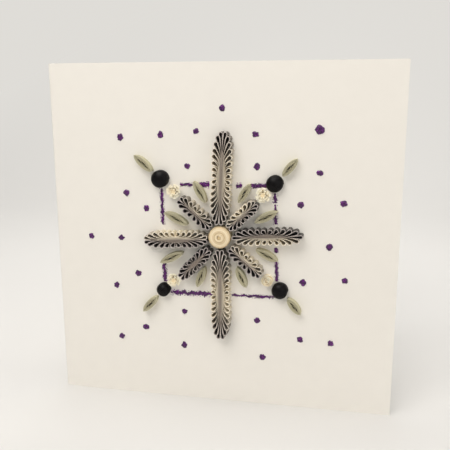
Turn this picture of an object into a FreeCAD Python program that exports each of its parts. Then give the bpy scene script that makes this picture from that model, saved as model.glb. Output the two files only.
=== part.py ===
import FreeCAD, Part
import math
import os

# Quilled snowflake on a folded greeting card that stands open on a table.
# Sizes are in millimetres. X runs along the front panel, Z is up and the front faces -Y.
# The origin is on the front panel's bottom edge, half way along it and half way through the sheet.

# The folded sheet
card_width = 150.0
card_height = 150.0
card_thickness = 0.4
opening_angle = 35.0
spring_length = 15.0
spring_radius = 120.0
fold_radius = 1.0

# Where the middle of the snowflake sits on the front panel
centre_x = 0.7
centre_z = 77.3

# Paper strips: how far each kind stands off the card, and the wall between two cells
petal_strip = 5.0
coil_strip = 3.0
strip_wall = 0.3
piece_gap = 0.25

# Petals: loops of one strip wound on a comb, whose round ends follow one another along both sides
loop_pitch = 2.63
loop_radius = 0.62
tip_radius = 0.5
slit_width = 0.12
shortest_tail_length = 1.0
tail_share = 0.46
flare_power = 1.4
blunt_power = 3.2
blunt_share = 0.58
waist = 0.16
band_share = 0.52
waist_power = 4
middle_width_share = 0.4
head_turn = 0.6
tip_turns = (0.0, 0.9)
scallop_turns = (-0.35, 0.95)
valley_clear_share = 0.6
valley_clear_gain = 0.5

# Tight coils are drawn with this many sides
coil_side_count = 15

# Tight coil in the middle, pushed up into a low dome with a raised ring round its hole
hub_radius = 4.9
hub_rim_height = 4.6
hub_rise = 0.9
hub_ring_count = 3
hub_hole_radius = 0.75
hub_hole_depth = 2.0
hub_collar_width = 0.7
hub_collar_rise = 0.35

# Black coils at the corners of the square, pushed up into domes
dome_rim_height = 1.7
dome_rise = 2.6
dome_ring_count = 4

# Fringed flowers, rolled from a slit strip whose ends are bent outwards
flower_tip_count = 8
flower_foot_share = 0.55
flower_notch_share = 0.78
flower_whorl_count = 2
flower_height = 3.6
flower_step = 0.9

# Loose coils pinched at both ends into leaves
leaf_half_width = 1.65
leaf_part_count = 6
eye_length_share = 0.34
eye_half_width = 0.5
eye_part_count = 3
end_eye_length_share = 0.16
end_eye_half_width = 0.3
end_eye_part_count = 2
end_eye_place_share = 0.29

# Glitter glue
line_ripple_share = 0.22
line_height = 0.3
line_step = 2.0
line_waves = (2.4, 0.7)
line_side_turn = 1.3
dot_height = 0.5
dot_side_count = 6
dot_top_share = 0.6
dot_ripple = 0.12
dot_wave = 1.9
dot_turn = 2.3

# Each petal: turn from +X in degrees, distance of its tip from the middle, length, half width and how
# far it sits to the left of its turn
petals = {
    "petal_top": (87.1, 44.5, 39.0, 4.6, 0.1),
    "petal_right": (3.1, 35.3, 30.0, 4.0, 0.4),
    "petal_bottom": (-89.7, 45.8, 40.4, 4.6, 0.5),
    "petal_left": (182.9, 33.3, 28.0, 4.0, -0.1),
    "petal_upper_left": (139.0, 23.8, 18.3, 3.5, -0.6),
    "petal_upper_right": (43.5, 22.5, 17.0, 3.5, 0.4),
    "petal_lower_left": (225.6, 25.8, 18.8, 3.5, 0.6),
    "petal_lower_right": (-41.2, 24.0, 17.8, 3.5, -0.3),
}

# The petals whose tips end in one loop; the others end in a pair of loops side by side
single_tip_petals = ("petal_right",)

# Each coil and flower: centre from the middle of the snowflake, radius
domes = {
    "black_coil_upper_left": (-26.6, 24.0, 3.9),
    "black_coil_upper_right": (22.9, 23.1, 3.7),
    "black_coil_lower_left": (-26.1, -25.6, 3.15),
    "black_coil_lower_right": (25.7, -23.1, 3.6),
}
flowers = {
    "flower_upper_left": (-20.5, 19.3, 3.1),
    "flower_upper_right": (18.5, 18.2, 2.95),
    "flower_lower_left": (-21.2, -20.9, 2.85),
    "flower_lower_right": (20.7, -18.6, 2.9),
}

# Each leaf: its outer and its inner end, from the middle of the snowflake
leaves = {
    "outer_leaf_upper_left": (-37.6, 34.2, -29.7, 27.2),
    "outer_leaf_upper_right": (32.2, 33.6, 26.0, 26.4),
    "outer_leaf_lower_left": (-35.8, -36.0, -28.9, -28.8),
    "outer_leaf_lower_right": (34.9, -33.1, 29.0, -26.1),
    "inner_leaf_top_left": (-11.5, 23.5, -6.2, 14.4),
    "inner_leaf_top_right": (12.8, 22.9, 7.7, 14.7),
    "inner_leaf_left_upper": (-24.6, 9.7, -14.2, 4.5),
    "inner_leaf_left_lower": (-27.2, -12.7, -16.6, -7.9),
    "inner_leaf_right_upper": (24.4, 11.4, 14.5, 6.6),
    "inner_leaf_right_lower": (24.7, -9.9, 15.2, -5.0),
    "inner_leaf_bottom_left": (-10.7, -23.2, -7.1, -13.9),
    "inner_leaf_bottom_right": (11.2, -22.3, 6.9, -13.3),
}

# The glitter square: both ends of each side, from the middle of the snowflake, and then each unbroken
# run of glue along it: where it starts, where it ends and its width
square_sides = {
    "glitter_line_top": ((-26.6, 21.6, 22.9, 22.0),
                         ((6.3, 14.5, 0.8), (17.0, 21.5, 2.1), (32.9, 35.6, 1.7), (39.5, 46.8, 1.6))),
    "glitter_line_left": ((-26.5, 24.0, -25.7, -25.6), ((4.2, 20.2, 1.3), (28.2, 44.6, 1.4))),
    "glitter_line_right": ((22.8, 23.0, 24.3, -23.1),
                           ((4.0, 8.2, 1.5), (8.8, 17.3, 1.3), (27.4, 42.5, 1.3))),
    "glitter_line_bottom": ((-26.1, -27.1, 25.7, -26.5), ((2.8, 22.6, 1.8), (30.6, 49.6, 1.1))),
}

# The glitter dots, from the middle of the snowflake, each with its radius
dots = (
    # above
    (0.5, 53.9, 1.3), (-10.9, 44.4, 1.25), (14.5, 43.4, 1.35), (-14.9, 29.7, 1.25),
    (15.2, 30.1, 1.3), (-26.4, 42.8, 1.35), (-44.6, 41.5, 1.4), (40.7, 45.3, 1.9),
    # right
    (41.2, 27.9, 1.3), (33.7, 14.3, 1.35), (51.3, 15.5, 1.4), (46.0, -3.3, 1.4),
    (35.4, -19.2, 1.5), (52.9, -17.6, 1.3),
    # below
    (15.8, -37.8, 1.3), (-17.0, -35.8, 1.3), (34.8, -45.3, 1.35), (47.9, -46.0, 1.4),
    (18.3, -54.9, 1.35), (-17.4, -51.9, 1.35), (-35.4, -44.5, 1.4), (-47.2, -49.8, 1.35),
    # left
    (-42.5, 17.4, 1.4), (-33.5, 10.8, 1.35), (-59.9, -2.8, 1.2), (-45.6, -3.0, 1.3),
    (-38.2, -19.0, 1.4), (-48.7, -25.2, 1.35),
)

front_face = -card_thickness / 2


def on_card(x, z):
    """A point on the front panel, given from the middle of the snowflake."""
    return FreeCAD.Vector(centre_x + x, front_face, centre_z + z)


def polar(radius, angle):
    """The two steps that lead radius away at an angle in radians."""
    return radius * math.cos(angle), radius * math.sin(angle)


def closed(points):
    """The closed outline through the points."""
    return Part.makePolygon(points + [points[0]])


def raised(points, height):
    """The solid between an outline and the same outline further off the card."""
    return Part.Face(closed(points)).extrude(FreeCAD.Vector(0, -height, 0))


def around(x, z, height, radii):
    """Points evenly round x, z at one height off the card, one for each radius."""
    points = []
    for number, radius in enumerate(radii):
        dx, dz = polar(radius, number * 2 * math.pi / len(radii))
        points.append(on_card(x + dx, z + dz) - FreeCAD.Vector(0, height, 0))
    return points


def tapered(foot, top):
    """The solid between two outlines of one form, one above the other."""
    faces = [Part.Face(closed(foot)), Part.Face(closed(top))]
    for number in range(len(foot)):
        after = (number + 1) % len(foot)
        faces.append(Part.Face(closed([foot[number], foot[after], top[after], top[number]])))
    return Part.Solid(Part.Shell(faces))


# The card

def folded_sheet():
    """The sheet's section, walked from the front panel's free edge round the fold to the rear edge."""
    spring = spring_length / spring_radius
    crease_turn = math.pi - math.radians(opening_angle) - 2 * spring
    flat = card_width - spring_length
    stretches = (
        (flat, 0.0),
        (spring_length, spring),
        (fold_radius * crease_turn, crease_turn),
        (spring_length, spring),
        (flat, 0.0),
    )
    x, y, heading = card_width / 2, 0.0, math.pi
    half = card_thickness / 2

    def beside(px, py, way, side):
        return FreeCAD.Vector(px - side * math.sin(way), py + side * math.cos(way), 0)

    near_edges = []
    far_edges = []
    ends = []
    for length, turn in stretches:
        steps = []
        for share in (0.0, 0.5, 1.0):
            if turn == 0.0:
                px = x + share * length * math.cos(heading)
                py = y + share * length * math.sin(heading)
            else:
                radius = length / turn
                px = x + radius * (math.sin(heading) - math.sin(heading - share * turn))
                py = y + radius * (math.cos(heading - share * turn) - math.cos(heading))
            steps.append((px, py, heading - share * turn))
        for side, edges in ((half, near_edges), (-half, far_edges)):
            start, middle, end = [beside(px, py, way, side) for px, py, way in steps]
            ends.append((start, end))
            if turn == 0.0:
                edges.append(Part.LineSegment(start, end).toShape())
            else:
                edges.append(Part.Arc(start, middle, end).toShape())
        x, y, heading = steps[-1]
    front_cap = Part.LineSegment(ends[0][0], ends[1][0]).toShape()
    rear_cap = Part.LineSegment(ends[-2][1], ends[-1][1]).toShape()
    section = Part.Wire(Part.__sortEdges__(near_edges + far_edges + [front_cap, rear_cap]))
    return Part.Face(section).extrude(FreeCAD.Vector(0, 0, card_height))


# Comb-wound petals, drawn along u from the middle of the petal and across it along w

def petal_half_width(half_width, share):
    """Half the petal's width at a share of its half length: blunt ends and a slight waist."""
    blunt = 1 - blunt_share * share ** blunt_power
    return half_width * (blunt - waist * (1 - share * share) ** waist_power)


def loop_cells(half_length, half_width, paired_tips):
    """Each loop of one quarter of the petal, from the tip to the waist: its tail, head and radius."""
    loops = max(1, round(half_length / loop_pitch - 0.5))
    pitch = half_length / (loops + 0.5)
    first_strand = 0.5 if paired_tips else 0.0
    strand = band_share * half_width / (loops + first_strand)
    tip_w = tip_radius + strip_wall / 2 if paired_tips else 0.0
    tip_tail = (half_length * (1 - tail_share), strand * first_strand)
    cells = [(tip_tail, (half_length - tip_radius - strip_wall, tip_w), tip_radius)]
    for number in range(1, loops + 1):
        head_u = half_length - number * pitch
        share = head_u / half_length
        head_w = petal_half_width(half_width, share) - loop_radius - strip_wall
        tail_length = shortest_tail_length + tail_share * half_length * share * share
        tail_w = strand * (number + first_strand)
        cells.append(((head_u - tail_length, tail_w), (head_u, head_w), loop_radius))
    return cells


def cell_direction(tail, head):
    """The way in which a loop's head points, in radians from the petal's length."""
    return math.atan2(flare_power * (head[1] - tail[1]), head[0] - tail[0])


def cell_outline(tail, head, radius):
    """The opening inside one loop: a bent drop with its point at the tail."""
    way = cell_direction(tail, head)
    middle_u = (tail[0] + head[0]) / 2
    middle_w = tail[1] + (head[1] - tail[1]) * 0.5 ** flare_power
    middle_way = math.atan2(head[1] - tail[1], head[0] - tail[0])
    middle_half = slit_width + (radius - slit_width) * middle_width_share
    stations = [(middle_u, middle_w, middle_way, middle_half), (head[0], head[1], way, radius)]
    points = [tail]
    for u, w, along, half in stations:
        points.append((u - half * math.sin(along), w + half * math.cos(along)))
    for turn in (head_turn, -head_turn):
        du, dw = polar(radius, way + turn)
        points.append((head[0] + du, head[1] + dw))
    for u, w, along, half in reversed(stations):
        points.append((u + half * math.sin(along), w - half * math.cos(along)))
    return points


def valley_after(tail, head, following):
    """The notch in the outline between a loop's head and the next one, clear of the loop's own cell."""
    notch_u = (head[0] + following[0]) / 2
    share = max(0.0, (notch_u - tail[0]) / (head[0] - tail[0]))
    cell_w = tail[1] + (head[1] - tail[1]) * share ** flare_power
    clear_w = cell_w + loop_radius * (valley_clear_share + valley_clear_gain * share) + strip_wall
    return notch_u, max(clear_w, min(head[1], following[1]) + strip_wall / 2)


def petal(angle, tip, length, half_width, aside, paired_tips):
    """One strip wound on a comb: a scalloped outline with an open cell inside each loop."""
    half_length = length / 2
    middle = tip - half_length
    quarter = loop_cells(half_length, half_width, paired_tips)
    heads = [head for tail, head, radius in quarter]
    heads.append((-heads[-1][0], heads[-1][1]))
    tip_u, tip_w = heads[0]
    tip_reach = tip_radius + strip_wall

    # one quarter of the outline, from the tip to the valley at the waist
    edge = []
    if paired_tips:
        edge.append((tip_u + math.sqrt(tip_reach ** 2 - tip_w ** 2), 0.0))
    for turn in tip_turns:
        du, dw = polar(tip_reach, turn)
        edge.append((tip_u + du, tip_w + dw))
    edge.append(((tip_u + heads[1][0]) / 2, max(tip_w + tip_reach, heads[1][1] / 2)))
    for (tail, head, radius), following in zip(quarter[1:], heads[2:]):
        way = cell_direction(tail, head)
        for turn in scallop_turns:
            du, dw = polar(radius + strip_wall, way + turn)
            edge.append((head[0] + du, head[1] + dw))
        edge.append(valley_after(tail, head, following))

    outline = edge + [(-u, w) for u, w in reversed(edge[:-1])]
    outline = outline + [(u, -w) for u, w in reversed(outline[1:-1])]

    cells = []
    for number, (tail, head, radius) in enumerate(quarter):
        cell = cell_outline(tail, head, radius)
        sides = (1, -1) if number > 0 or paired_tips else (1,)
        cells += [[(u * along, w * across) for u, w in cell] for along in (1, -1) for across in sides]

    turn = math.radians(angle)

    def placed(points):
        return [on_card((middle + u) * math.cos(turn) - (aside + w) * math.sin(turn),
                        (middle + u) * math.sin(turn) + (aside + w) * math.cos(turn)) for u, w in points]

    wires = [closed(placed(points)) for points in [outline] + cells]
    return Part.makeFace(wires, "Part::FaceMakerBullseye").extrude(FreeCAD.Vector(0, -petal_strip, 0))


# Tight coils

def terraces(x, z, radius, inner_radius, rim_height, rise, rings):
    """A coil pushed up into a dome, and its height: a rim, then rings that each stand higher."""
    solid = raised(around(x, z, 0.0, [radius] * coil_side_count), rim_height)
    reached = rim_height
    for ring in range(1, rings):
        inner = radius - ring * (radius - inner_radius) / rings
        top = rim_height + rise * math.sqrt(1 - (inner / radius) ** 2)
        solid = solid.fuse(raised(around(x, z, reached, [inner] * coil_side_count), top - reached))
        reached = top
    return solid, reached


def hub():
    """The middle coil, with a raised ring round a blind hole."""
    collar_radius = hub_hole_radius + hub_collar_width
    solid, top = terraces(0.0, 0.0, hub_radius, collar_radius, hub_rim_height, hub_rise, hub_ring_count)
    collar = raised(around(0.0, 0.0, top, [collar_radius] * coil_side_count), hub_collar_rise)
    floor = top - hub_hole_depth
    hole_outline = around(0.0, 0.0, floor, [hub_hole_radius] * coil_side_count)
    return solid.fuse(collar).cut(raised(hole_outline, hub_hole_depth + hub_collar_rise))


def black_coil(x, z, radius):
    """A domed coil with no hole."""
    return terraces(x, z, radius, 0.0, dome_rim_height, dome_rise, dome_ring_count)[0]


# Fringed flowers

def flower(x, z, radius):
    """Whorls of fringe, one inside another and each standing higher, that flare from the foot."""
    solid = None
    foot_height = 0.0
    for whorl in range(flower_whorl_count):
        reach = radius * (flower_whorl_count - whorl) / flower_whorl_count
        tips = [reach, reach * flower_notch_share] * flower_tip_count
        feet = [tip * flower_foot_share for tip in tips]
        height = flower_height - flower_step * (flower_whorl_count - 1 - whorl)
        cup = tapered(around(x, z, foot_height, feet), around(x, z, height, tips))
        solid = cup if solid is None else solid.fuse(cup)
    return solid


# Leaves

def lens(start, end, half_width, parts):
    """An outline of two equal curves that meet at both ends, each drawn with some straight parts."""
    length = math.hypot(end[0] - start[0], end[1] - start[1])
    along_x, along_z = (end[0] - start[0]) / length, (end[1] - start[1]) / length
    points = []
    for side in (1, -1):
        for part in range(parts):
            share = part / parts if side == 1 else 1 - part / parts
            run = share * length
            off = side * half_width * 4 * share * (1 - share)
            points.append(on_card(start[0] + run * along_x - off * along_z,
                                  start[1] + run * along_z + off * along_x))
    return points


def leaf(outer_x, outer_z, inner_x, inner_z):
    """A loose coil pinched at both ends: packed turns with one long eye and a short one beside it."""
    def between(share):
        return inner_x + share * (outer_x - inner_x), inner_z + share * (outer_z - inner_z)

    eyes = ((0.5, eye_length_share, eye_half_width, eye_part_count),
            (0.5 + end_eye_place_share, end_eye_length_share, end_eye_half_width, end_eye_part_count))
    outlines = [lens(between(0.0), between(1.0), leaf_half_width, leaf_part_count)]
    for place, length_share, half_width, parts in eyes:
        ends = between(place - length_share / 2), between(place + length_share / 2)
        outlines.append(lens(*ends, half_width, parts))
    wires = [closed(points) for points in outlines]
    return Part.makeFace(wires, "Part::FaceMakerBullseye").extrude(FreeCAD.Vector(0, -coil_strip, 0))


# Glitter glue

def kept_clear():
    """The room on the card that the quilled pieces take, with the gap that the glue keeps from them."""
    rooms = []
    for angle, tip, length, half_width, aside in petals.values():
        way = math.radians(angle)
        side_x, side_z = polar(aside, way + math.pi / 2)
        ends = []
        for reach in (tip - length - half_width, tip + half_width):
            end_x, end_z = polar(reach, way)
            ends.append((end_x + side_x, end_z + side_z))
        rooms.append(raised(lens(*ends, half_width + piece_gap, leaf_part_count), line_height))
    for outer_x, outer_z, inner_x, inner_z in leaves.values():
        grow = piece_gap / leaf_half_width
        step_x, step_z = grow * (outer_x - inner_x), grow * (outer_z - inner_z)
        ends = (outer_x + step_x, outer_z + step_z), (inner_x - step_x, inner_z - step_z)
        rooms.append(raised(lens(*ends, leaf_half_width + piece_gap, leaf_part_count), line_height))
    for x, z, radius in list(domes.values()) + list(flowers.values()):
        rooms.append(raised(around(x, z, 0.0, [radius + piece_gap] * coil_side_count), line_height))
    return rooms


def glitter_line(ends, runs, rooms):
    """A ragged line of glue, broken into runs, that stops short of each piece glued on the card."""
    from_x, from_z, to_x, to_z = ends
    length = math.hypot(to_x - from_x, to_z - from_z)
    along_x, along_z = (to_x - from_x) / length, (to_z - from_z) / length
    pieces = []
    for first, last, width in runs:
        steps = max(2, round((last - first) / line_step))
        sides = ([], [])
        for step in range(steps + 1):
            place = first + step * (last - first) / steps
            for side, points in zip((1, -1), sides):
                ripple = line_ripple_share * math.sin(line_waves[0] * step + line_side_turn * side)
                ripple *= math.cos(line_waves[1] * step + place)
                half = side * width * (0.5 + ripple)
                points.append(on_card(from_x + place * along_x - half * along_z,
                                      from_z + place * along_z + half * along_x))
        pieces += raised(sides[0] + sides[1][::-1], line_height).cut(rooms).Solids
    return Part.makeCompound(pieces)


def glitter_dot(number, x, z, radius):
    """A blob of glue: an uneven foot that draws in to a smaller top."""
    foot = []
    for side in range(dot_side_count):
        foot.append(radius * (1 + dot_ripple * math.sin(dot_wave * side + dot_turn * number)))
    top = [reach * dot_top_share for reach in foot]
    return tapered(around(x, z, 0.0, foot), around(x, z, dot_height, top))


def build():
    """Every piece of the card by name."""
    shapes = {"card": folded_sheet(), "centre_coil": hub()}
    for name, sizes in petals.items():
        shapes[name] = petal(*sizes, name not in single_tip_petals)
    for name, sizes in domes.items():
        shapes[name] = black_coil(*sizes)
    for name, sizes in flowers.items():
        shapes[name] = flower(*sizes)
    for name, ends in leaves.items():
        shapes[name] = leaf(*ends)
    rooms = kept_clear()
    for name, (ends, runs) in square_sides.items():
        shapes[name] = glitter_line(ends, runs, rooms)
    blobs = [glitter_dot(number, *dot) for number, dot in enumerate(dots)]
    shapes["glitter_dots"] = Part.makeCompound(blobs)
    return shapes


os.makedirs("parts", exist_ok=True)
for name, shape in build().items():
    shape.exportStep("parts/" + name + ".step")
    print(name, "valid" if shape.isValid() else "NOT VALID", "solids", len(shape.Solids),
          "volume %.2f" % shape.Volume)
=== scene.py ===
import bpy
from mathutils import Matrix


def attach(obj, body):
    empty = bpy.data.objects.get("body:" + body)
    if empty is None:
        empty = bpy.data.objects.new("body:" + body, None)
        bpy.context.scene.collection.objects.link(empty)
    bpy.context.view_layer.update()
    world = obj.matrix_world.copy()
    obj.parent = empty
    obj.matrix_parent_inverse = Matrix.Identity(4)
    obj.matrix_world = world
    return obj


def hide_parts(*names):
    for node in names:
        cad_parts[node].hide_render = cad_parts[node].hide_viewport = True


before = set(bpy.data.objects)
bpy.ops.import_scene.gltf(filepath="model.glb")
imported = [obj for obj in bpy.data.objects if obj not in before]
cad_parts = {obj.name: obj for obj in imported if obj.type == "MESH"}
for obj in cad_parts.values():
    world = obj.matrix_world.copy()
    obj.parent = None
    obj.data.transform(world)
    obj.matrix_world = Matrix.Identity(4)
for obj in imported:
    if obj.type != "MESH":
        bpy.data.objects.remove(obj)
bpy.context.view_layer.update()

import logging
import math
import random
from dataclasses import dataclass
from enum import Enum
from typing import Callable, Iterable

import bmesh
import bpy
from bmesh.types import BMEdge, BMesh, BMVert
from bpy.types import Material, Mesh, Node, NodeSocket, NodeTree
from mathutils import Matrix, Vector, noise

log = logging.getLogger("snowflake_card")

MM = 0.001

Colour = tuple[float, float, float]
Point = tuple[float, float]

# Where the snowflake's middle lies on the front panel, in millimetres of the part's own frame
CENTRE_X = 0.7
CENTRE_Z = 77.3
CARD_FACE = -0.2

# A strip's face that points off the card at least this much is the paper's cut edge
CUT_EDGE_SLOPE = 0.6

# The sides of the round block that closes a roll
PLUG_SIDES = 32

# What makes the unevenness of handwork differ from piece to piece
UNEVEN_FACTORS = (12.9898, 78.233, 37.719)
UNEVEN_SCALE = 43.7


class Stock(Enum):
    """The record's material slots, one for each kind of paper or glue."""

    CARD = "card_stock"
    PETAL = "petal_strips"
    CREAM = "cream_strips"
    BLACK = "black_strips"
    SAGE = "sage_strips"
    GLUE = "glitter_glue"


def linear(colour: Colour) -> tuple[float, float, float, float]:
    """Turn a colour as it is seen into the values that a shader takes.

    Args:
        colour: red, green and blue from 0 to 1 as a screen shows them.

    Returns:
        The same colour in linear light, with full opacity.
    """
    levels = [c / 12.92 if c <= 0.04045 else ((c + 0.055) / 1.055) ** 2.4 for c in colour]
    return levels[0], levels[1], levels[2], 1.0


def on_card(x: float, z: float, height: float) -> Vector:
    """Place a point over the front panel.

    Args:
        x: distance to the right of the snowflake's middle, in millimetres.
        z: distance above it.
        height: how far the point stands off the card's face.

    Returns:
        The point in metres in the part's frame.
    """
    return Vector(((CENTRE_X + x) * MM, (CARD_FACE - height) * MM, (CENTRE_Z + z) * MM))


def polar(radius: float, angle: float) -> Point:
    """The two steps that lead a radius away at an angle in radians."""
    return radius * math.cos(angle), radius * math.sin(angle)


def into_mesh(bm: BMesh, name: str, smooth: bool = True) -> Mesh:
    """Turn a finished shape into a mesh and free it.

    Args:
        bm: the shape.
        name: the mesh's name.
        smooth: whether its faces are made smooth; otherwise they stay as they are.

    Returns:
        The mesh.
    """
    if smooth:
        for face in bm.faces:
            face.smooth = True
    mesh = bpy.data.meshes.new(name)
    bm.to_mesh(mesh)
    bm.free()
    return mesh


def as_sheet(bm: BMesh, thickness: float) -> None:
    """Give an open surface its thickness in millimetres and turn its faces outwards."""
    bmesh.ops.solidify(bm, geom=bm.faces[:] + bm.edges[:] + bm.verts[:], thickness=thickness * MM)
    bmesh.ops.recalc_face_normals(bm, faces=bm.faces[:])


def first_edge(bm: BMesh) -> tuple[list, list]:
    """Make the one edge that a sheet is drawn out from, and give it and its two ends."""
    ends = bmesh.ops.create_vert(bm)["vert"] + bmesh.ops.create_vert(bm)["vert"]
    return [bm.edges.new(ends)], ends


def drawn_out(bm: BMesh, rim: list, ends: list) -> tuple[list, list]:
    """Extrude a row of edges in place, ready to be moved.

    Args:
        bm: the shape.
        rim: the edges.
        ends: their vertices.

    Returns:
        The new edges, and the new vertices in the order of the old ones.
    """
    made = bmesh.ops.extrude_edge_only(bm, edges=rim)["geom"]
    new = {item for item in made if isinstance(item, BMVert)}
    edges = [item for item in made if isinstance(item, BMEdge) and set(item.verts) <= new]
    return edges, [next(edge.other_vert(old) for edge in old.link_edges if edge.other_vert(old) in new)
                   for old in ends]


# Finishes

class Nodes:
    """A short way to add nodes to a tree and to join them."""

    def __init__(self, tree: NodeTree) -> None:
        """Keep the tree that the nodes go into."""
        self.tree = tree

    def add(self, kind: str, inputs: dict | None = None, **settings) -> Node:
        """Add a node.

        Args:
            kind: the node's type, without the leading ShaderNode.
            inputs: a value or another node's output for each named input.
            settings: properties of the node.

        Returns:
            The new node.
        """
        node = self.tree.nodes.new("ShaderNode" + kind)
        for name, value in settings.items():
            setattr(node, name, value)
        for name, value in (inputs or {}).items():
            if isinstance(value, NodeSocket):
                self.tree.links.new(value, node.inputs[name])
            else:
                node.inputs[name].default_value = value
        return node

    def mix(self, factor, first, second, blend: str = "MIX") -> NodeSocket:
        """Mix two colours.

        Args:
            factor: the share of the second colour, a number or an output.
            first: the colour at 0.
            second: the colour at 1.
            blend: the way in which they mix.

        Returns:
            The mixed colour.
        """
        node = self.add("Mix", data_type="RGBA", blend_type=blend)
        for socket, value in ((0, factor), (6, first), (7, second)):
            if isinstance(value, NodeSocket):
                self.tree.links.new(value, node.inputs[socket])
            else:
                node.inputs[socket].default_value = value
        return node.outputs[2]


def new_group(name: str, inputs: dict, outputs: dict) -> tuple[Nodes, Node, Node]:
    """Start a node group with named inputs and outputs.

    Args:
        name: the group's name.
        inputs: each input's name with its first value; a number or a colour.
        outputs: each output's name with its socket type.

    Returns:
        The tree's helper, and the nodes that stand for the inputs and the outputs.
    """
    tree = bpy.data.node_groups.new(name, "ShaderNodeTree")
    for label, value in inputs.items():
        kind = "NodeSocketFloat" if isinstance(value, float) else "NodeSocketColor"
        socket = tree.interface.new_socket(label, in_out="INPUT", socket_type=kind)
        socket.default_value = value
    for label, kind in outputs.items():
        tree.interface.new_socket(label, in_out="OUTPUT", socket_type=kind)
    nodes = Nodes(tree)
    return nodes, tree.nodes.new("NodeGroupInput"), tree.nodes.new("NodeGroupOutput")


def fibre_group() -> NodeTree:
    """Build the paper effect: soft mottling of a colour, and the height of its fibres.

    Returns:
        The group, with a Color and a Height output.
    """
    inputs = {"Color": (0.8, 0.8, 0.8, 1.0), "Grain": 900.0, "Mottle": 0.06}
    nodes, given, result = new_group(
        "paper_fibre", inputs, {"Color": "NodeSocketColor", "Height": "NodeSocketFloat"})
    place = nodes.add("TexCoord").outputs["Object"]
    fine = nodes.add("TexNoise", {"Vector": place, "Scale": given.outputs["Grain"], "Detail": 3.0,
                                  "Roughness": 0.65})
    wide = nodes.add("Math", {0: given.outputs["Grain"], 1: 0.12}, operation="MULTIPLY")
    cloud = nodes.add("TexNoise", {"Vector": place, "Scale": wide.outputs[0], "Detail": 2.0})
    share = nodes.add("Math", {0: cloud.outputs["Fac"], 1: given.outputs["Mottle"]}, operation="MULTIPLY")
    darker = nodes.mix(0.5, given.outputs["Color"], (0.35, 0.33, 0.31, 1.0), "MULTIPLY")
    colour = nodes.mix(share.outputs[0], given.outputs["Color"], darker)
    nodes.tree.links.new(colour, result.inputs["Color"])
    nodes.tree.links.new(fine.outputs["Fac"], result.inputs["Height"])
    return nodes.tree


def flake_group() -> NodeTree:
    """Build the glitter effect: flakes that differ in colour, in gloss and in tilt.

    Returns:
        The group, with Color, Roughness, Metallic and Height outputs.
    """
    inputs = {"Deep": (0.05, 0.01, 0.08, 1.0), "Bright": (0.4, 0.1, 0.5, 1.0), "Flakes": 3000.0}
    outputs = {"Color": "NodeSocketColor", "Roughness": "NodeSocketFloat",
               "Metallic": "NodeSocketFloat", "Height": "NodeSocketFloat"}
    nodes, given, result = new_group("glitter_flakes", inputs, outputs)
    place = nodes.add("TexCoord").outputs["Object"]
    cells = nodes.add("TexVoronoi", {"Vector": place, "Scale": given.outputs["Flakes"]})
    split = nodes.add("SeparateColor", {"Color": cells.outputs["Color"]})
    bright = nodes.add("MapRange", {"Value": split.outputs[0], "From Min": 0.55, "From Max": 1.0})
    colour = nodes.mix(bright.outputs[0], given.outputs["Deep"], given.outputs["Bright"])
    rough = nodes.add("MapRange", {"Value": split.outputs[1], "To Min": 0.18, "To Max": 0.6})
    nodes.tree.links.new(colour, result.inputs["Color"])
    nodes.tree.links.new(rough.outputs[0], result.inputs["Roughness"])
    nodes.tree.links.new(bright.outputs[0], result.inputs["Metallic"])
    nodes.tree.links.new(split.outputs[2], result.inputs["Height"])
    return nodes.tree


def new_material(name: str) -> tuple[Material, Nodes, Node]:
    """Start a material with one Principled shader.

    Args:
        name: the material's name.

    Returns:
        The material, its tree's helper and its shader.
    """
    material = bpy.data.materials.new(name)
    material.use_nodes = True
    material.node_tree.nodes.clear()
    nodes = Nodes(material.node_tree)
    shader = nodes.add("BsdfPrincipled")
    nodes.add("OutputMaterial", {"Surface": shader.outputs["BSDF"]})
    return material, nodes, shader


@dataclass(frozen=True)
class PaperFinish:
    """A paper whose dye runs from one colour to another along its strip, as the piece's shade attribute
    says; where its reach attribute is low, the packed colour darkens it as painted shade.
    """

    name: str
    light: Colour
    dark: Colour
    middle: Colour | None = None
    packed: Colour | None = None
    roughness: float = 0.62
    grain: float = 1800.0
    mottle: float = 0.25
    bump: float = 0.15
    specular: float = 0.35
    fibre_depth: float = 0.00004

    def material(self, fibre: NodeTree) -> Material:
        """Build the material.

        Args:
            fibre: the shared paper effect.

        Returns:
            The material.
        """
        material, nodes, shader = new_material(self.name)
        shade = nodes.add("Attribute", attribute_name="shade")
        ramp = nodes.add("ValToRGB", {"Fac": shade.outputs["Fac"]})
        ramp.color_ramp.elements[0].color = linear(self.light)
        ramp.color_ramp.elements[1].color = linear(self.dark)
        if self.middle is not None:
            ramp.color_ramp.elements.new(0.5).color = linear(self.middle)
        dye_and_painted_shade = ramp.outputs["Color"]
        # Painted shade: where the reach attribute is below 1, the packed colour multiplies the dye darker,
        # standing in for the shade in the packed band of strands.
        if self.packed is not None:
            reach = nodes.add("Attribute", attribute_name="reach")
            shadowed = nodes.mix(1.0, dye_and_painted_shade, linear(self.packed), "MULTIPLY")
            dye_and_painted_shade = nodes.mix(reach.outputs["Fac"], shadowed, dye_and_painted_shade)
        paper = nodes.add("Group", {"Color": dye_and_painted_shade, "Grain": self.grain, "Mottle": self.mottle},
                          node_tree=fibre)
        bump = nodes.add("Bump", {"Height": paper.outputs["Height"], "Strength": self.bump,
                                  "Distance": self.fibre_depth})
        nodes.tree.links.new(paper.outputs["Color"], shader.inputs["Base Color"])
        nodes.tree.links.new(bump.outputs["Normal"], shader.inputs["Normal"])
        shader.inputs["Roughness"].default_value = self.roughness
        shader.inputs["Specular IOR Level"].default_value = self.specular
        return material


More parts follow.
